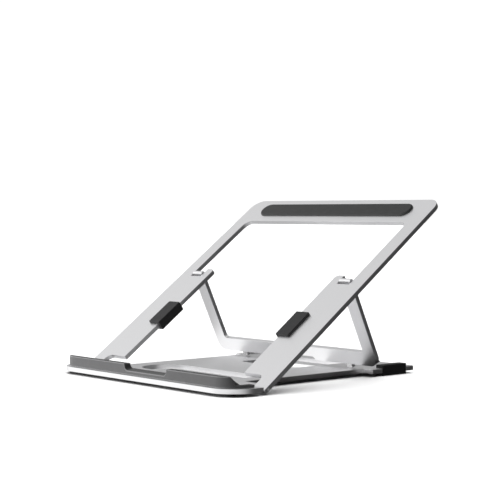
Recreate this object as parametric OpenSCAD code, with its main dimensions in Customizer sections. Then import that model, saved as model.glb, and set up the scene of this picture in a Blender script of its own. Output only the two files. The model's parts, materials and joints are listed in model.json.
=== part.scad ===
// Folding laptop stand cut from flat aluminium plate: a base, a tilted tray and a strut that
// nest in each other, with silicone lip, pads and clips. Millimetres, +Z up, the user at -Y.
// Origin: middle of the footprint, on the table.

/* [Overall] */
// Width of the base and the tray
stand_w = 240; // [225:1:300]
// Thickness of all three plates
plate_t = 4; // [3.6:0.1:5]
// Gap between the base plate and the table
foot_h = 2.5; // [2:0.1:4]
// Tray's slope above the table, degrees
tray_tilt = 36; // [32:1:40]
// Strut's lean from upright, its foot towards the back, degrees
strut_lean = 25; // [20:1:28]

/* [Base] */
// Front edge to the lower hinge axis
hinge_setback = 37.3; // [36:0.1:44]
// Radius of the front corners
front_corner_r = 24; // [16:1:28]
// Half the width of the middle panel
panel_half = 80.4; // [70:0.1:80.5]
// Width of the long slot behind the front bar
slot_w = 127; // [90:1:130]
// Depth of that slot
slot_d = 41; // [30:1:42]
// Width of the rear opening
window_w = 72; // [50:1:90]

/* [Tray] */
// Lower hinge axis to the tray's top edge, along the slope
tray_len = 248.3; // [244:0.1:262]
// Width of the lower half's wide rails
wide_rail_w = 39; // [36:0.5:44]
// Width of the upper half's narrow rails
narrow_rail_w = 15; // [12:0.5:18]
// Height of the tray's top bar
top_bar_w = 32.8; // [28:0.1:40]
// Lower hinge axis to the strut's hinge, along the slope
strut_hinge_at = 132.6; // [130:0.1:136]

/* [Strut] */
// Strut's hinge to the lower edge of its crossbar
strut_len = 78.8; // [74:0.1:79]
// Width of the strut's legs and crossbar
strut_bar_w = 13; // [11:0.5:14]

/* [Silicone] */
// Height of the front lip above the base plate
lip_h = 9; // [8:0.5:16]
// Front-to-back thickness of the lip
lip_t = 6.5; // [5:0.5:8]
// Left end of the finger scoop in the lip
scoop_left = -21; // [-40:1:-10]
// Right end of the finger scoop
scoop_right = 35.5; // [20:0.5:45]
// Thickness of the top pad
pad_t = 2; // [1.5:0.1:3]
// Silicone above and below the plate in the side clips
clip_t = 2.3; // [1.5:0.1:3]

/* [Hinges] */
// Hinge pin diameter
pin_d = 2.3; // [2:0.1:2.4]
// Radial running clearance of the pins
pin_fit = 0.05; // [0.02:0.01:0.1]
// Side gap of a hinge, washer included
hinge_gap = 0.8; // [0.6:0.1:1.2]

/* [Hidden] */
$fn = 96;
eps = 0.01;
half_w = stand_w / 2;
end_back = 1.8;                          // a rounded hinge end's centre, past the axis
end_reach = end_back + plate_t / 2;
fold_gap = 0.4;                          // between nested plates, measured in one plane
base_top = foot_h + plate_t;
hinge_y = hinge_setback;
hinge_z = foot_h + plate_t / 2;
side_end_y = hinge_y - end_reach - fold_gap;
tab_in = half_w - narrow_rail_w;         // inner side of the tray's hinge tabs and narrow rails
lug_out = tab_in - hinge_gap;
lug_back = hinge_y + 10.7;
lug_corner_r = 3.5;                      // clears the fillet of the tray's tabs as it folds
rail_in = half_w - wide_rail_w;
rail_start = 13;                         // slope distance where the wide rails begin
tab_fillet = 6;
leg_out = tab_in - hinge_gap;
leg_in = leg_out - strut_bar_w;
ear_out = leg_in - hinge_gap;            // inner hinge tab of the tray
ear_end = strut_hinge_at + 7;
ear_corner_r = min(4, (ear_out - rail_in) / 2);
notch_at = strut_hinge_at - end_reach - fold_gap;
opening_top = tray_len - top_bar_w;
crossbar_at = strut_len - strut_bar_w - 0.3;
wing_half = leg_in - 0.6;
wing_start = hinge_y + ear_end + 5.3;
wing_corner_r = 1.5;
base_end = hinge_y + strut_hinge_at + crossbar_at - 0.6;
slot_back = hinge_y + 46.4;
slot_mid = slot_back - slot_d / 2;
window_start = hinge_y + 104.7;
window_end = base_end - 27;
pin_r = pin_d / 2;
lower_pin_in = lug_out - 11;
lower_pin_out = half_w - 1.2;
upper_pin_in = rail_in + 3;
upper_pin_out = tab_in + 8;
washer_r = plate_t / 2 - 0.2;
washer_t = hinge_gap - 0.3;
lip_inset = 3;
lip_low = 2.4;                            // the lip's low end strips, above the plate
lip_back = 26.7;
lip_top = base_top + lip_h;
slant_x = half_w - 11;
slant_y = 8.5;
slant_drop = 43;                         // degrees
scoop_front = 3.4;                       // what is left under the scoop at the front
scoop_rise = 16;                         // degrees
front_foot_w = 40;
front_foot_d = 8;
foot_sink = 0.6;
clip_start = hinge_y + 158;
clip_end = clip_start + 29.7;
clip_in = wing_half - 8.6;
clip_skin = 1.2;
clip_top = 2.8;
rail_clip_start = 58.5;
rail_clip_end = 88;
rail_clip_proud = 2.8;
rail_clip_w = 15.3;
pad_start = opening_top + 8.2;
pad_w = 16.8;
pad_half = half_w - 23;
pad_bevel = 1.2;
grip_half = leg_out - 4.2;
grip_top = strut_len - 10.3;
grip_low = strut_len - 1.2;
grip_depth = 3.6;
rest_in = 66;
rest_w = 6;
rest_gap = 0.3;                          // left between the rests and the base plate
// the rests reach down to the base plate, and still clear the tray's opening when folded
strut_hinge_z = hinge_z + strut_hinge_at * sin(tray_tilt);
rest_reach = (strut_hinge_z - plate_t / 2 * sin(strut_lean) - base_top - rest_gap) / cos(strut_lean);
rest_drop = min(rest_reach, opening_top - strut_hinge_at - fold_gap) - strut_len;
footprint = hinge_y + tray_len * cos(tray_tilt) + plate_t / 2 * sin(tray_tilt);
mid_y = footprint / 2;

silver = [0.78, 0.78, 0.79];
dark = [0.16, 0.16, 0.165];
steel = [0.55, 0.55, 0.57];
grey = [0.5, 0.5, 0.51];

// ---- placing ----

module on_base() translate([0, -mid_y, 0]) children();

// x across, y up the slope, z out of the tray's top face
module on_tray() on_base() translate([0, hinge_y, hinge_z]) rotate([tray_tilt, 0, 0]) children();

// x across, y down the strut, z out of the strut's back face
module on_strut() on_tray() translate([0, strut_hinge_at, 0])
    rotate([strut_lean - 90 - tray_tilt, 0, 0]) children();

module both_sides() {
    children();
    mirror([1, 0, 0]) children();
}

module side(s) mirror([s < 0 ? 1 : 0, 0, 0]) children();

// ---- shared shapes ----

module plate() translate([0, 0, -plate_t / 2]) linear_extrude(plate_t) children();

module span(x0, x1, y0, y1) translate([x0, y0]) square([x1 - x0, y1 - y0]);

module block(x0, x1, y0, y1, z0, z1) translate([x0, y0, z0]) cube([x1 - x0, y1 - y0, z1 - z0]);

module rod(x0, x1, r) translate([x0, 0, 0]) rotate([0, 90, 0]) cylinder(r = r, h = x1 - x0);

// rectangle with four round corners
module rounded(x0, x1, y0, y1, r) {
    span(x0 + r, x1 - r, y0, y1);
    span(x0, x1, y0 + r, y1 - r);
    for (x = [x0 + r, x1 - r], y = [y0 + r, y1 - r]) translate([x, y]) circle(r);
}

// fills an inside corner at [x, y] with a round of radius r, towards the signs of dx and dy
module inside_round(x, y, dx, dy, r) difference() {
    translate([x + (dx < 0 ? -r : 0), y + (dy < 0 ? -r : 0)]) square(r);
    translate([x + dx * r, y + dy * r]) circle(r);
}

module round_end(x0, x1, at) translate([0, at, 0]) rod(x0, x1, plate_t / 2);

// ---- base ----

module base_outline() difference() {
    union() {
        span(-half_w, half_w, 0, side_end_y);
        rounded(-lug_out, lug_out, front_corner_r, lug_back, lug_corner_r);
        span(-panel_half, panel_half, lug_back - 1, base_end - 3);
        rounded(-wing_half, wing_half, wing_start, base_end, wing_corner_r);
    }
    rounded(-slot_w / 2, slot_w / 2, slot_mid - slot_d / 2, slot_back, slot_d / 2 - eps);
    rounded(-window_w / 2, window_w / 2, window_start, window_end, 6);
    both_sides() span(wing_half - clip_skin, wing_half + 1, clip_start, clip_end);
    both_sides() difference() {
        span(half_w - front_corner_r, half_w + 1, -1, front_corner_r);
        translate([half_w - front_corner_r, front_corner_r]) circle(front_corner_r);
    }
}

module base_plate() color(silver) on_base() difference() {
    translate([0, 0, foot_h]) linear_extrude(plate_t) base_outline();
    both_sides() translate([0, hinge_y, hinge_z]) rod(lower_pin_in, lug_out + 1, pin_r);
    both_sides() translate([0, 0, foot_h - 1]) linear_extrude(1 + foot_sink) front_foot_outline();
}

module front_foot_outline() translate([half_w - 34, 15])
    rounded(-front_foot_w / 2, front_foot_w / 2, -front_foot_d / 2, front_foot_d / 2,
            front_foot_d / 2 - eps);

module front_foot(s) color(dark) on_base() side(s) linear_extrude(foot_h + foot_sink) front_foot_outline();

module lip_outline() {
    outer_r = front_corner_r - lip_inset;
    inner_r = outer_r - lip_t;
    difference() {
        union() {
            span(-half_w + front_corner_r, half_w - front_corner_r, lip_inset, lip_inset + lip_t);
            both_sides() translate([half_w - front_corner_r, front_corner_r]) difference() {
                circle(outer_r);
                circle(inner_r);
            }
            both_sides() span(half_w - lip_inset - lip_t, half_w - lip_inset, front_corner_r, lip_back);
        }
        both_sides() span(half_w - front_corner_r - outer_r, half_w - lip_inset - lip_t,
                          lip_inset + lip_t, lip_back + 20);
        span(-half_w, half_w, lip_back, lip_back + 40);
    }
}

module lip_scoop() translate([0, lip_inset, base_top + scoop_front]) rotate([scoop_rise, 0, 0]) {
    block(scoop_left + 4, scoop_right - 4, -20, 30, 0, 40);
    block(scoop_left, scoop_right, -20, 30, 4, 40);
    for (x = [scoop_left + 4, scoop_right - 4])
        translate([x, -20, 4]) rotate([-90, 0, 0]) cylinder(r = 4, h = 50);
}

module front_lip() color(dark) on_base() {
    translate([0, 0, base_top]) linear_extrude(lip_low) difference() {
        lip_outline();
        span(scoop_left, scoop_right, 0, 20);
    }
    difference() {
        translate([0, 0, base_top]) linear_extrude(lip_h) lip_outline();
        both_sides() translate([slant_x, slant_y, lip_top]) rotate([0, 0, 45])
            rotate([0, slant_drop, 0]) translate([0, -40, 0]) cube([70, 80, 40]);
        both_sides() block(half_w - 8, half_w, slant_y, 60, base_top - 1, lip_top + 1);
        lip_scoop();
    }
}

module rear_clip(s) color(dark) on_base() side(s) difference() {
    block(clip_in, wing_half + 0.3, clip_start, clip_end, 0, base_top + clip_top);
    block(clip_in - 1, wing_half - clip_skin, clip_start - 1, clip_end + 1, foot_h, base_top);
}

module lower_pin(s) color(steel) on_base() side(s) translate([0, hinge_y, hinge_z])
    rod(lower_pin_in, lower_pin_out, pin_r);

module washer(x, t) difference() {
    rod(x, x + t, washer_r);
    rod(x - 1, x + t + 1, pin_r + pin_fit);
}

module lower_washer(s) color(steel) on_base() side(s) translate([0, hinge_y, hinge_z])
    washer(lug_out, washer_t);

// ---- tray ----

module tray_outline() {
    both_sides() difference() {
        union() {
            span(rail_in, half_w, rail_start, notch_at);
            span(tab_in, half_w, -end_back, rail_start + 1);
            inside_round(tab_in, rail_start, -1, -1, tab_fillet);
            span(tab_in, half_w, notch_at - 1, tray_len - 20);
            span(rail_in, ear_out, notch_at - 1, ear_end - ear_corner_r);
            span(rail_in + ear_corner_r, ear_out, notch_at - 1, ear_end);
            translate([rail_in + ear_corner_r, ear_end - ear_corner_r]) circle(ear_corner_r);
        }
    }
    difference() {
        rounded(-half_w, half_w, opening_top - 20, tray_len, 12);
        span(-half_w - 1, half_w + 1, opening_top - 21, opening_top);
    }
    both_sides() inside_round(tab_in, opening_top, -1, -1, 8);
}

module tray_frame() color(silver) on_tray() difference() {
    union() {
        plate() tray_outline();
        both_sides() round_end(tab_in, half_w, -end_back);
    }
    both_sides() rod(tab_in - 1, half_w + 1, pin_r + pin_fit);
    both_sides() translate([0, strut_hinge_at, 0]) rod(upper_pin_in, upper_pin_out, pin_r);
}

module top_pad() color(dark) on_tray() translate([0, pad_start, plate_t / 2]) {
    linear_extrude(pad_t - pad_bevel) rounded(-pad_half, pad_half, 0, pad_w, pad_w / 2 - eps);
    translate([0, 0, pad_t - pad_bevel]) linear_extrude(pad_bevel)
        rounded(-pad_half + pad_bevel, pad_half - pad_bevel, pad_bevel, pad_w - pad_bevel,
                pad_w / 2 - pad_bevel - eps);
}

module rail_clip(s) color(dark) on_tray() side(s) difference() {
    block(rail_in - rail_clip_proud, rail_in - rail_clip_proud + rail_clip_w, rail_clip_start,
          rail_clip_end, -plate_t / 2 - clip_t, plate_t / 2 + clip_t);
    block(rail_in, half_w, rail_clip_start - 1, rail_clip_end + 1, -plate_t / 2, plate_t / 2);
}

module upper_pin(s) color(steel) on_tray() side(s) translate([0, strut_hinge_at, 0])
    rod(upper_pin_in, upper_pin_out, pin_r);

module upper_washers(s) color(steel) on_tray() side(s) translate([0, strut_hinge_at, 0]) {
    washer(ear_out, washer_t);
    washer(tab_in - washer_t, washer_t);
}

// ---- strut ----

module strut_outline() difference() {
    union() {
        difference() {
            rounded(-leg_out, leg_out, -20, strut_len, 9);
            span(-leg_out - 1, leg_out + 1, -21, -end_back);
            span(-leg_in, leg_in, -21, crossbar_at);
        }
        both_sides() inside_round(leg_in, crossbar_at, -1, -1, 3);
    }
    span(-23.7, 23.7, strut_len - 3.3, strut_len + 1);
    for (x = [-23.7, 23.7]) translate([x, strut_len]) circle(3.3);
}

module strut_frame() color(silver) on_strut() difference() {
    union() {
        plate() strut_outline();
        both_sides() round_end(leg_in, leg_out, -end_back);
    }
    both_sides() rod(leg_in - 1, leg_out + 1, pin_r + pin_fit);
}

module strut_grip() color(dark) on_strut() translate([-grip_half, 0, 0]) rotate([90, 0, 90])
    linear_extrude(2 * grip_half) polygon([[grip_top, plate_t / 2], [grip_low, plate_t / 2],
        [grip_low, plate_t / 2 + grip_depth]]);

module strut_rest(s) color(grey) on_strut() side(s) block(rest_in, rest_in + rest_w, strut_len,
    strut_len + rest_drop, -plate_t / 2, plate_t / 2);

base_plate();
front_lip();
front_foot(-1);  // front_foot_left
front_foot(1);  // front_foot_right
rear_clip(-1);  // rear_clip_left
rear_clip(1);  // rear_clip_right
lower_pin(-1);  // lower_pin_left
lower_pin(1);  // lower_pin_right
lower_washer(-1);  // lower_washer_left
lower_washer(1);  // lower_washer_right
tray_frame();
top_pad();
rail_clip(-1);  // rail_clip_left
rail_clip(1);  // rail_clip_right
upper_pin(-1);  // upper_pin_left
upper_pin(1);  // upper_pin_right
upper_washers(-1);  // upper_washers_left
upper_washers(1);  // upper_washers_right
strut_frame();
strut_grip();
strut_rest(-1);  // strut_rest_left
strut_rest(1);  // strut_rest_right
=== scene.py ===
import json
import math

import bpy
from mathutils import Matrix, Vector


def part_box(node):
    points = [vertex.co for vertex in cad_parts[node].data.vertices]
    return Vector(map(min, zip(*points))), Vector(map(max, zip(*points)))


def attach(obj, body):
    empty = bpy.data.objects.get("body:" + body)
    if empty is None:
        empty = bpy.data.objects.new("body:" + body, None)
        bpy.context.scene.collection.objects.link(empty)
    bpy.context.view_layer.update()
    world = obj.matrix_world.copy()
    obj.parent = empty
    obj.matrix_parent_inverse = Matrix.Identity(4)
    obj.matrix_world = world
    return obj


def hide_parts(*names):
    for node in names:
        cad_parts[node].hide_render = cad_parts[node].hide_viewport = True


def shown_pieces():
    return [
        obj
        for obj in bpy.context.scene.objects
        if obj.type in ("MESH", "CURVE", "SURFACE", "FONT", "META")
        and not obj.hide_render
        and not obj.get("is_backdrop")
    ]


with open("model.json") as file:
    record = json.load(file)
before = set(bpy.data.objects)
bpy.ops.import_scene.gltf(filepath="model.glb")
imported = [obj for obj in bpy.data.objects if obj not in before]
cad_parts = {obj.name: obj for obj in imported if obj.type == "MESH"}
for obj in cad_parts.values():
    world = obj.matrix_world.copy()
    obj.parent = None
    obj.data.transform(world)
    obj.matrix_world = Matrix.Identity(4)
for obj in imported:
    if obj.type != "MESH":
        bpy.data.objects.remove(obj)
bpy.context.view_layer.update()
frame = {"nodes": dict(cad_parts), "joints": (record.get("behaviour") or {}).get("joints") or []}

print("frame loaded:", len(frame["nodes"]), "nodes")


# places are read from the frame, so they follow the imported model
def hingeAt(jointName):
    joint = next(j for j in frame["joints"] if j["name"] == jointName)
    return Vector(joint["pos_m"])


# the way a flat plate's widest face looks, taken upwards
def plateNormal(nodeName):
    areas = {}
    for face in frame["nodes"][nodeName].data.polygons:
        key = tuple(round(value, 3) for value in face.normal)
        areas[key] = areas.get(key, 0) + face.area
    normal = Vector(max(areas, key=areas.get))
    return normal if normal.z > 0 else -normal


# a plate's own axes: x across, y along it, z out of its upper face
def placeOn(nodeName, origin):
    across = Vector((1, 0, 0))
    out = plateNormal(nodeName).normalized()
    along = out.cross(across)
    turn = Matrix((across, along, out)).transposed().to_4x4()
    return Matrix.Translation(origin) @ turn


def boxIn(nodeName, place):
    back = place.inverted()
    points = [back @ v.co for v in frame["nodes"][nodeName].data.vertices]
    low = Vector([min(p[i] for p in points) for i in range(3)])
    high = Vector([max(p[i] for p in points) for i in range(3)])
    return low, high


level = Matrix.Identity(4)
trayPlace = placeOn("tray_frame", hingeAt("tray_fold"))
baseLow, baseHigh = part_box("base_plate")
plateHalf = (baseHigh.z - baseLow.z) / 2

hair = 1e-6                              # a point this near to a plane lies on it, metres
mergeWithin = 0.000004                   # metres
flatWithin = 0.4                         # degrees between facets of one flat face
smoothBelow = 34                         # degrees
breakAbove = 30                          # degrees


def selectOnly(piece):
    bpy.ops.object.select_all(action="DESELECT")
    piece.select_set(True)
    bpy.context.view_layer.objects.active = piece


# leaves the piece in edit mode with the faces or edges that pass the test selected
def pick(piece, kind, test):
    selectOnly(piece)
    bpy.ops.object.mode_set(mode="EDIT")
    bpy.ops.mesh.select_mode(type=kind)
    bpy.ops.mesh.select_all(action="DESELECT")
    bpy.ops.object.mode_set(mode="OBJECT")
    mesh = piece.data
    if kind == "FACE":
        for face in mesh.polygons:
            face.select = test(face.center, face.normal)
    else:                                # edges are tested by their middle and direction
        for edge in mesh.edges:
            a, b = (mesh.vertices[i].co for i in edge.vertices)
            edge.select = test((a + b) / 2, (b - a).normalized())
    bpy.ops.object.mode_set(mode="EDIT")


def roundPicked(width, segments, profile=0.5):
    bpy.ops.mesh.bevel(offset=width, segments=segments, profile=profile, affect="EDGES",
                       clamp_overlap=True)
    bpy.ops.object.mode_set(mode="OBJECT")


def addBlock(pieceName, low, high):
    bpy.ops.object.select_all(action="DESELECT")
    bpy.ops.mesh.primitive_cube_add(size=1, location=(low + high) / 2)
    piece = bpy.context.object
    piece.name = pieceName
    piece.scale = high - low
    bpy.ops.object.transform_apply(location=True, rotation=True, scale=True)
    return piece


def mergedCopy(nodeName, pieceName):
    piece = bpy.data.objects.new(pieceName, frame["nodes"][nodeName].data.copy())
    bpy.context.scene.collection.objects.link(piece)
    selectOnly(piece)
    bpy.ops.mesh.customdata_custom_splitnormals_clear()
    bpy.ops.object.mode_set(mode="EDIT")
    bpy.ops.mesh.select_all(action="SELECT")
    bpy.ops.mesh.remove_doubles(threshold=mergeWithin)
    bpy.ops.mesh.dissolve_limited(angle_limit=math.radians(flatWithin))
    bpy.ops.object.mode_set(mode="OBJECT")
    return piece


def breakEdges(piece, width, segments, angle=breakAbove, edgeSlot=-1):
    bevel = piece.modifiers.new("edgeBreak", "BEVEL")
    bevel.width = width
    bevel.segments = segments
    bevel.limit_method = "ANGLE"
    bevel.angle_limit = math.radians(angle)
    bevel.use_clamp_overlap = False
    bevel.material = edgeSlot
    bevel.miter_outer = "MITER_ARC"
    selectOnly(piece)
    bpy.ops.object.modifier_apply(modifier="edgeBreak")


def finishPiece(piece, place, body, nodeName, material):
    selectOnly(piece)
    piece.matrix_world = place
    bpy.ops.object.transform_apply(location=True, rotation=True, scale=True)
    bpy.ops.object.shade_smooth_by_angle(angle=math.radians(smoothBelow))
    weight = piece.modifiers.new("flatFaces", "WEIGHTED_NORMAL")   # keeps wide faces flat in the shading
    weight.keep_sharp = True
    weight.weight = 100                  # the widest face decides
    bpy.ops.object.modifier_apply(modifier="flatFaces")
    if not piece.data.materials or piece.data.materials[0] != material:
        piece.data.materials.clear()
        piece.data.materials.append(material)
    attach(piece, body)
    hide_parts(nodeName)


def newMaterial(materialName):
    material = bpy.data.materials.new(materialName)
    material.use_nodes = True
    shader = material.node_tree.nodes["Principled BSDF"]
    return material, material.node_tree, shader


def grain(tree, size, detail):
    place = tree.nodes.new("ShaderNodeTexCoord")
    noise = tree.nodes.new("ShaderNodeTexNoise")
    noise.inputs["Scale"].default_value = 1 / size
    noise.inputs["Detail"].default_value = detail
    tree.links.new(place.outputs["Object"], noise.inputs["Vector"])
    return noise.outputs["Fac"]


def spread(tree, value, low, high, start=0.3, end=0.7):
    ramp = tree.nodes.new("ShaderNodeMapRange")
    ramp.inputs["From Min"].default_value = start
    ramp.inputs["From Max"].default_value = end
    ramp.inputs["To Min"].default_value = low
    ramp.inputs["To Max"].default_value = high
    tree.links.new(value, ramp.inputs["Value"])
    return ramp.outputs["Result"]


def blendTones(tree, factor, first, second):
    mix = tree.nodes.new("ShaderNodeMix")
    mix.data_type = "RGBA"
    mix.inputs["A"].default_value = (*first, 1)
    mix.inputs["B"].default_value = (*second, 1)
    tree.links.new(factor, mix.inputs["Factor"])
    return mix.outputs["Result"]


def bump(tree, height, strength, depth):
    node = tree.nodes.new("ShaderNodeBump")
    node.inputs["Strength"].default_value = strength
    node.inputs["Distance"].default_value = depth
    tree.links.new(height, node.inputs["Height"])
    return node.outputs["Normal"]


anodising = {
    "light": (0.84, 0.84, 0.85),
    "dark": (0.79, 0.79, 0.80),
    "beadSize": 0.00035,                 # blasting grain
    "beadDetail": 3,
    "cloudSize": 0.05,                   # slow drift of gloss over a plate
    "cloudDetail": 2,
    "roughLow": 0.34,
    "roughHigh": 0.44,
    "bumpStrength": 0.25,
    "bumpDepth": 0.00002,
}


def anodisedFinish():
    material, tree, shader = newMaterial("anodisedAluminium")
    beads = grain(tree, anodising["beadSize"], anodising["beadDetail"])
    cloud = grain(tree, anodising["cloudSize"], anodising["cloudDetail"])
    shader.inputs["Metallic"].default_value = 1
    tone = blendTones(tree, spread(tree, beads, 0, 1), anodising["dark"], anodising["light"])
    tree.links.new(tone, shader.inputs["Base Color"])
    rough = spread(tree, cloud, anodising["roughLow"], anodising["roughHigh"])
    tree.links.new(rough, shader.inputs["Roughness"])
    blasted = bump(tree, beads, anodising["bumpStrength"], anodising["bumpDepth"])
    tree.links.new(blasted, shader.inputs["Normal"])
    return material


silicone = {
    "poreSize": 0.0006,
    "poreDetail": 4,
    "dustSize": 0.006,
    "dustDetail": 5,
    "roughLow": 0.52,
    "roughHigh": 0.66,
    "gloss": 0.25,
    "bumpStrength": 0.3,
    "bumpDepth": 0.00004,
    "dustStart": 0.42,                   # where in the noise the dust film begins
    "dustFull": 0.78,
    # tone and how much paler the dust makes it
    # the lip is toned paler than the pad and clips to paint in the stronger light on its front face
    "lip": ((0.13, 0.13, 0.132), 0.012),
    # the lip's bevel faces get this paler tone: a painted highlight along its edges
    "lipPaintedHighlight": ((0.27, 0.27, 0.273), 0.02),
    "pad": ((0.05, 0.051, 0.051), 0.008),
    "clip": ((0.034, 0.034, 0.035), 0.008),
    "grey": ((0.6, 0.6, 0.605), 0.03),
}


def siliconeFinish(kind):
    tone, dust = silicone[kind]
    material, tree, shader = newMaterial(kind + "Silicone")
    pores = grain(tree, silicone["poreSize"], silicone["poreDetail"])
    film = grain(tree, silicone["dustSize"], silicone["dustDetail"])
    shader.inputs["Specular IOR Level"].default_value = silicone["gloss"]
    pale = tuple(value + dust for value in tone)
    dusty = spread(tree, film, 0, 1, silicone["dustStart"], silicone["dustFull"])
    colour = blendTones(tree, dusty, tone, pale)
    tree.links.new(colour, shader.inputs["Base Color"])
    rough = spread(tree, pores, silicone["roughLow"], silicone["roughHigh"])
    tree.links.new(rough, shader.inputs["Roughness"])
    porous = bump(tree, pores, silicone["bumpStrength"], silicone["bumpDepth"])
    tree.links.new(porous, shader.inputs["Normal"])
    return material


steel = {
    "light": (0.42, 0.42, 0.43),
    "dark": (0.28, 0.28, 0.29),
    "turnedSize": 0.0002,
    "turnedDetail": 2,
    "roughLow": 0.26,
    "roughHigh": 0.4,
}


def steelFinish():
    material, tree, shader = newMaterial("pinSteel")
    turned = grain(tree, steel["turnedSize"], steel["turnedDetail"])
    shader.inputs["Metallic"].default_value = 1
    tone = blendTones(tree, spread(tree, turned, 0, 1), steel["dark"], steel["light"])
    tree.links.new(tone, shader.inputs["Base Color"])
    rough = spread(tree, turned, steel["roughLow"], steel["roughHigh"])
    tree.links.new(rough, shader.inputs["Roughness"])
    return material


anodised = anodisedFinish()
lipSilicone = siliconeFinish("lip")
lipPaintedHighlightSilicone = siliconeFinish("lipPaintedHighlight")
padSilicone = siliconeFinish("pad")
clipSilicone = siliconeFinish("clip")
greySilicone = siliconeFinish("grey")
pinSteel = steelFinish()
print("finishes made")


# the three plates, with their edges broken
plateEdge = {"width": 0.0003, "segments": 2}

for nodeName, body in (("base_plate", "base"), ("tray_frame", "tray"), ("strut_frame", "strut")):
    plate = mergedCopy(nodeName, nodeName + "_finished")
    breakEdges(plate, plateEdge["width"], plateEdge["segments"])
    finishPiece(plate, level, body, nodeName, anodised)
print("plates made")


# the silicone lip along the front
lipPaintedHighlight = {"width": 0.0007, "segments": 3}

lip = mergedCopy("front_lip", "front_lip_moulded")
lip.data.materials.clear()
lip.data.materials.append(lipSilicone)
lip.data.materials.append(lipPaintedHighlightSilicone)
# the bevel faces take the paler tone in slot 1, a painted highlight along the lip's edges
breakEdges(lip, lipPaintedHighlight["width"], lipPaintedHighlight["segments"], edgeSlot=1)
finishPiece(lip, level, "base", "front_lip", lipSilicone)


# a round-ended block, for the top pad and the front feet
def stadium(pieceName, low, high, endSteps):
    piece = addBlock(pieceName, low, high)
    pick(piece, "EDGE", lambda middle, way: abs(way.z) > 0.9)
    roundPicked((high.y - low.y) / 2 * 0.995, endSteps)   # just under half, so the end arcs never meet
    return piece


topPad = {"chamfer": 0.0012, "chamferSteps": 3, "chamferShape": 0.35, "endSteps": 20}

low, high = boxIn("top_pad", trayPlace)
pad = stadium("top_pad_moulded", low, high, topPad["endSteps"])
pick(pad, "EDGE", lambda middle, way: middle.z > high.z - hair and abs(way.z) < 0.1)
roundPicked(topPad["chamfer"], topPad["chamferSteps"], topPad["chamferShape"])
finishPiece(pad, trayPlace, "tray", "top_pad", padSilicone)

frontFoot = {"edge": 0.0006, "edgeSteps": 3, "endSteps": 12}

for side in ("left", "right"):
    low, high = boxIn("front_foot_" + side, level)
    foot = stadium("front_foot_" + side + "_moulded", low, high, frontFoot["endSteps"])
    pick(foot, "EDGE", lambda middle, way: middle.z < low.z + hair and abs(way.z) < 0.1)
    roundPicked(frontFoot["edge"], frontFoot["edgeSteps"])
    finishPiece(foot, level, "base", "front_foot_" + side, padSilicone)
print("lip, top pad and feet made")


# silicone clips that wrap the edge of a plate
clip = {"webCorner": 0.0009, "flangeCorner": 0.0014, "edge": 0.0005, "cornerSteps": 5, "edgeSteps": 3}


# the web stands outside plateEdgeX, and two flanges reach over and under the plate
def wrapClip(pieceName, low, high, plateEdgeX, slotLow, slotHigh):
    inward = 1 if abs(high.x - plateEdgeX) > abs(low.x - plateEdgeX) else -1
    webLow = Vector(low)
    webHigh = Vector(high)
    if inward > 0:
        webHigh.x = plateEdgeX
    else:
        webLow.x = plateEdgeX
    flange = (high.x - plateEdgeX) if inward > 0 else (low.x - plateEdgeX)
    piece = addBlock(pieceName, webLow, webHigh)
    bpy.ops.object.mode_set(mode="EDIT")
    for cut in (slotLow, slotHigh):
        bpy.ops.mesh.select_all(action="SELECT")
        bpy.ops.mesh.bisect(plane_co=(0, 0, cut), plane_no=(0, 0, 1))
    bpy.ops.object.mode_set(mode="OBJECT")
    pick(piece, "FACE", lambda middle, normal: normal.x * inward > 0.9
         and not slotLow < middle.z < slotHigh)
    bpy.ops.mesh.extrude_region_move(TRANSFORM_OT_translate={"value": (flange, 0, 0)})
    bpy.ops.object.mode_set(mode="OBJECT")
    tipX = plateEdgeX + flange
    rootX = webLow.x if inward > 0 else webHigh.x
    pick(piece, "EDGE", lambda middle, way: abs(way.z) > 0.9 and abs(middle.x - tipX) < hair)
    roundPicked(clip["flangeCorner"], clip["cornerSteps"])
    pick(piece, "EDGE", lambda middle, way: abs(way.z) > 0.9 and abs(middle.x - rootX) < hair)
    roundPicked(clip["webCorner"], clip["cornerSteps"])
    pick(piece, "EDGE", lambda middle, way: abs(way.z) < 0.1
         and (middle.z > high.z - hair or middle.z < low.z + hair))
    roundPicked(clip["edge"], clip["edgeSteps"])
    return piece


for side, sign in (("left", -1), ("right", 1)):
    node = "rail_clip_" + side
    low, high = boxIn(node, trayPlace)
    steps = sorted({round(abs(v.co.x), 5) for v in frame["nodes"][node].data.vertices})
    railEdge = steps[1] * sign           # the clip's outer face is first, the rail's edge next
    piece = wrapClip(node + "_moulded", low, high, railEdge, -plateHalf, plateHalf)
    finishPiece(piece, trayPlace, "tray", node, clipSilicone)

    node = "rear_clip_" + side
    low, high = boxIn(node, level)
    steps = sorted({round(abs(v.co.x), 5) for v in frame["nodes"][node].data.vertices})
    wingEdge = steps[-2] * sign          # here the outer face is last
    piece = wrapClip(node + "_moulded", low, high, wingEdge, baseLow.z, baseHigh.z)
    finishPiece(piece, level, "base", node, clipSilicone)
print("clips made")


# the strip and the rests on the strut's foot
strutTrim = {"edge": 0.0003, "steps": 2}

for node, slotName, finish in (
    ("strut_grip", "dark_silicone", clipSilicone),
    ("strut_rest_left", "grey_silicone", greySilicone),
    ("strut_rest_right", "grey_silicone", greySilicone),
):
    piece = mergedCopy(node, node + "_moulded")
    breakEdges(piece, strutTrim["edge"], strutTrim["steps"])
    finishPiece(piece, level, "strut", node, finish)


# hinge pins and washers
pin = {"sides": 48, "chamfer": 0.00025, "chamferSteps": 2}
washer = {"edge": 0.00008, "edgeSteps": 2, "sharperThan": 50}


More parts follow.
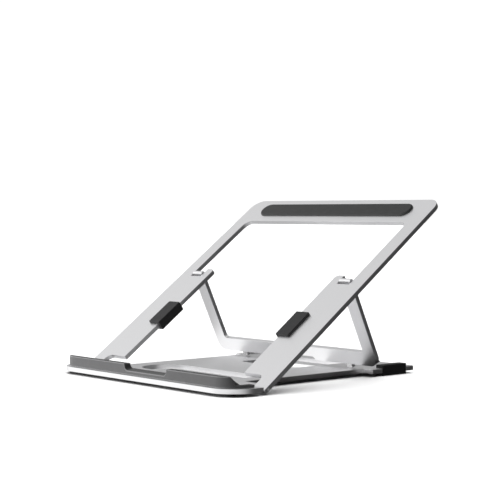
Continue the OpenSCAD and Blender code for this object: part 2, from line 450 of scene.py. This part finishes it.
def hingePin(nodeName, body):
    low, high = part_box(nodeName)
    middle = (low + high) / 2
    bpy.ops.object.select_all(action="DESELECT")
    bpy.ops.mesh.primitive_cylinder_add(vertices=pin["sides"], radius=(high.z - low.z) / 2,
                                        depth=high.x - low.x, location=middle,
                                        rotation=(0, math.pi / 2, 0))
    piece = bpy.context.object
    piece.name = nodeName + "_turned"
    bpy.ops.object.transform_apply(location=True, rotation=True, scale=True)
    pick(piece, "EDGE", lambda centre, way: abs(way.x) < 0.1
         and (centre.x < low.x + hair or centre.x > high.x - hair))
    roundPicked(pin["chamfer"], pin["chamferSteps"])
    finishPiece(piece, level, body, nodeName, pinSteel)


for side in ("left", "right"):
    hingePin("lower_pin_" + side, "base")
    hingePin("upper_pin_" + side, "tray")
    for node, body in (("lower_washer_" + side, "base"), ("upper_washers_" + side, "tray")):
        piece = mergedCopy(node, node + "_polished")
        breakEdges(piece, washer["edge"], washer["edgeSteps"], washer["sharperThan"])
        finishPiece(piece, level, body, node, pinSteel)
print("pins and washers made")


# floor, light and camera
studio = {
    "floorTone": 0.92,
    "floorRoughness": 0.9,
    "floorHalf": 12,                     # metres
    "floorLight": 4.6,                   # falls on the floor alone
    "floorLightSpread": 100,             # degrees
    "floorLightFrom": (-0.25, 0.2, 1.5),
    "padLight": 24,                      # watts, low and in front, for the silicone
    "padLightSize": 0.6,
    "padLightAt": (-0.6, -1.0, 0.1),
    "surroundBase": 0.535,
    "surroundAcross": -0.5,              # brighter towards the left
    "surroundDeep": -0.36,               # brighter towards the front
    "surroundFall": 2,
    "surroundLeast": 0.025,
    "surroundOnMatte": 0.06,
    "surroundBehind": 1.05,              # what the camera sees past the floor
}

# soft boxes in the surround: where each lies, the cosines where it starts and is full, its strength
softBoxes = {
    "overhead": ((0, 0, 1), 0.74, 0.96, 0.55),
    "fromTable": ((0, 0, -1), 0.4, 0.9, 0.6),
    "frontRight": ((0.76, -0.65, 0), 0.45, 0.95, 0.7),
    "highBehind": ((0.45, 0.5, 0.74), 0.8, 0.97, 0.45),
}

bpy.ops.object.select_all(action="DESELECT")
bpy.ops.mesh.primitive_plane_add(size=2 * studio["floorHalf"], location=(0, 0, 0))
floor = bpy.context.object
floor.name = "floor"
floorMaterial, tree, shader = newMaterial("paleFloor")
shader.inputs["Base Color"].default_value = (studio["floorTone"],) * 3 + (1,)
shader.inputs["Roughness"].default_value = studio["floorRoughness"]
shader.inputs["Specular IOR Level"].default_value = 0
floor.data.materials.append(floorMaterial)
floor.visible_diffuse = False
floor.visible_glossy = False
floor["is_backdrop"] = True

floorOnly = bpy.data.collections.new("floorOnly")
floorOnly.objects.link(floor)

stand = bpy.data.collections.new("stand")
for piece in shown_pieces():
    stand.objects.link(piece)


def addLamp(lampName, kind, at, power, lit):
    lamp = bpy.data.lights.new(lampName, kind)
    lamp.energy = power
    holder = bpy.data.objects.new(lampName, lamp)
    holder.location = at
    holder.rotation_euler = (-Vector(at)).to_track_quat("-Z", "Y").to_euler()
    holder.light_linking.receiver_collection = lit
    bpy.context.scene.collection.objects.link(holder)
    return lamp, holder


lamp, holder = addLamp("floorLight", "SUN", studio["floorLightFrom"], studio["floorLight"], floorOnly)
lamp.angle = math.radians(studio["floorLightSpread"])
lamp, holder = addLamp("padLight", "AREA", studio["padLightAt"], studio["padLight"], stand)
lamp.size = studio["padLightSize"]
holder.visible_glossy = False            # it lights the silicone and leaves the metal alone


# cards lie just under the floor and are seen only in reflections
def reflectorCard(cardName, low, high, depth, glow):
    middle = ((low[0] + high[0]) / 2, (low[1] + high[1]) / 2, -depth)
    bpy.ops.object.select_all(action="DESELECT")
    bpy.ops.mesh.primitive_plane_add(size=1, location=middle)
    card = bpy.context.object
    card.name = cardName
    card.scale = (high[0] - low[0], high[1] - low[1], 1)
    bpy.ops.object.transform_apply(location=True, rotation=True, scale=True)
    material, tree, shader = newMaterial(cardName)
    shader.inputs["Base Color"].default_value = (0, 0, 0, 1)
    shader.inputs["Specular IOR Level"].default_value = 0
    shader.inputs["Emission Color"].default_value = (1, 1, 1, 1)
    shader.inputs["Emission Strength"].default_value = glow
    card.data.materials.append(material)
    card.visible_camera = False
    card.visible_diffuse = False
    card.visible_shadow = False
    card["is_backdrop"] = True


cards = {
    "greyLow": (-0.58, -0.07),           # left of the stand
    "greyHigh": (-0.14, 0.27),
    "greyDepth": 0.001,
    "greyGlow": 0.55,
    "blackDepth": 0.0005,
    "blackFront": 0.045,                 # how far the black card reaches in from the front
    "blackSide": 0.07,                   # and from the right-hand side
}

reflectorCard("greyCard", cards["greyLow"], cards["greyHigh"], cards["greyDepth"], cards["greyGlow"])
# the black cards are painted shade: in reflections they stand for the shadowed floor under the base's
# front and right-hand side
frontHigh = (baseHigh.x, baseLow.y + cards["blackFront"])
reflectorCard("paintedShadeFrontCard", baseLow, frontHigh, cards["blackDepth"], 0)
sideLow = (baseHigh.x - cards["blackSide"], baseLow.y + cards["blackFront"])
reflectorCard("paintedShadeSideCard", sideLow, baseHigh, cards["blackDepth"], 0)


# a soft wrap of light, bright in front and to the left, dark behind and to the right
def studioSurround():
    world = bpy.data.worlds.new("studioSurround")
    bpy.context.scene.world = world
    world.use_nodes = True
    tree = world.node_tree
    tree.nodes.clear()
    way = tree.nodes.new("ShaderNodeTexCoord").outputs["Generated"]

    def along(direction):
        dot = tree.nodes.new("ShaderNodeVectorMath")
        dot.operation = "DOT_PRODUCT"
        dot.inputs[1].default_value = direction
        tree.links.new(way, dot.inputs[0])
        return dot.outputs["Value"]

    def combine(operation, first, second):
        step = tree.nodes.new("ShaderNodeMath")
        step.operation = operation
        tree.links.new(first, step.inputs[0])
        if isinstance(second, (int, float)):
            step.inputs[1].default_value = second
        else:
            tree.links.new(second, step.inputs[1])
        return step.outputs[0]

    light = along((studio["surroundAcross"], studio["surroundDeep"], 0))
    light = combine("ADD", light, studio["surroundBase"])
    light = combine("MAXIMUM", light, 0)
    light = combine("POWER", light, studio["surroundFall"])
    light = combine("ADD", light, studio["surroundLeast"])
    for direction, start, full, strength in softBoxes.values():
        light = combine("ADD", light, spread(tree, along(direction), 0, strength, start, full))
    wrap = tree.nodes.new("ShaderNodeBackground")
    tree.links.new(light, wrap.inputs["Strength"])
    white = tree.nodes.new("ShaderNodeBackground")
    white.inputs["Strength"].default_value = studio["surroundBehind"]
    for shade in (wrap, white):
        shade.inputs["Color"].default_value = (1, 1, 1, 1)
    matte = tree.nodes.new("ShaderNodeBackground")
    matte.inputs["Strength"].default_value = studio["surroundOnMatte"]
    path = tree.nodes.new("ShaderNodeLightPath")
    output = tree.nodes.new("ShaderNodeOutputWorld")
    shown = wrap.outputs[0]
    for ray, shade in (("Is Diffuse Ray", matte), ("Is Camera Ray", white)):
        mix = tree.nodes.new("ShaderNodeMixShader")
        tree.links.new(path.outputs[ray], mix.inputs["Fac"])
        tree.links.new(shown, mix.inputs[1])
        tree.links.new(shade.outputs[0], mix.inputs[2])
        shown = mix.outputs[0]
    tree.links.new(shown, output.inputs["Surface"])


studioSurround()

camera = {
    "at": (0.921975, -0.794362, 0.141371),
    "turn": 49.139,                      # degrees from straight ahead
    "dip": 1.567,                        # degrees below level
    "lens": 100.56,
    "sensor": 36,
    "nearest": 0.01,
    "farthest": 100,
}

lens = bpy.data.cameras.new("camera")
lens.lens = camera["lens"]
lens.sensor_width = camera["sensor"]
lens.clip_start = camera["nearest"]
lens.clip_end = camera["farthest"]
eye = bpy.data.objects.new("camera", lens)
eye.location = camera["at"]
eye.rotation_euler = (math.radians(90 - camera["dip"]), 0, math.radians(camera["turn"]))
bpy.context.scene.collection.objects.link(eye)
bpy.context.scene.camera = eye
bpy.context.scene.view_settings.view_transform = "Standard"
print("studio ready")
